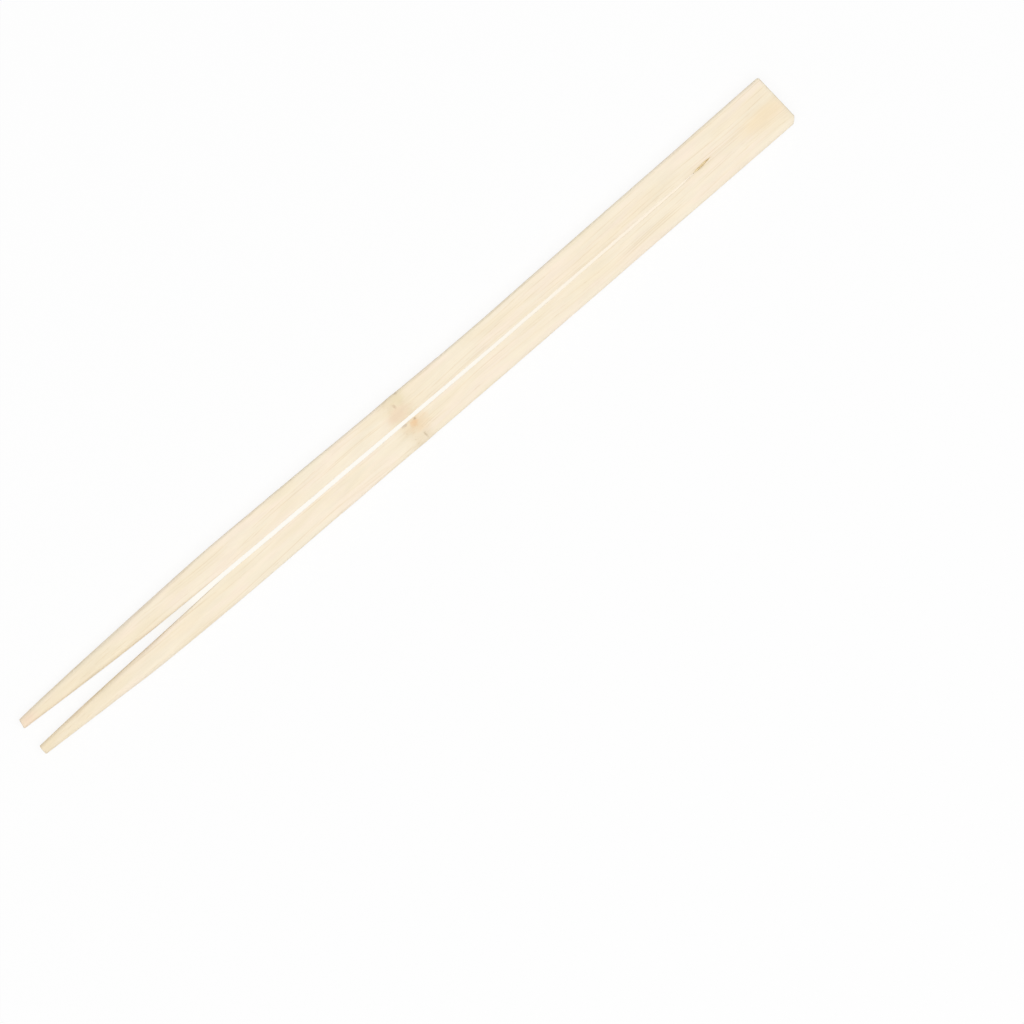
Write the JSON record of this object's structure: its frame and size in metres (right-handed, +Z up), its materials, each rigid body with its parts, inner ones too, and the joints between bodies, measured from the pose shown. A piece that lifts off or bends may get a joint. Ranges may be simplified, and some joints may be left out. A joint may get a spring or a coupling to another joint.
{
  "type": "bamboo chopsticks",
  "caption": "Flat bamboo strip slit lengthwise from rounded, tapered tips to a joined head, to be snapped apart into chopsticks for eating.",
  "frame": {"origin": "under the middle of the strip's whole length and width, on the face that it lies on", "axes": "+X along the strip from the tips to the joined head, +Y across both legs, +Z up out of the broad face"},
  "size_m": [0.23, 0.0146, 0.005],
  "materials": {
    "bamboo": "bare, sanded"
  },
  "bodies": {
    "root": {"chopstick_pair": "bamboo"}
  },
  "joints": []
}
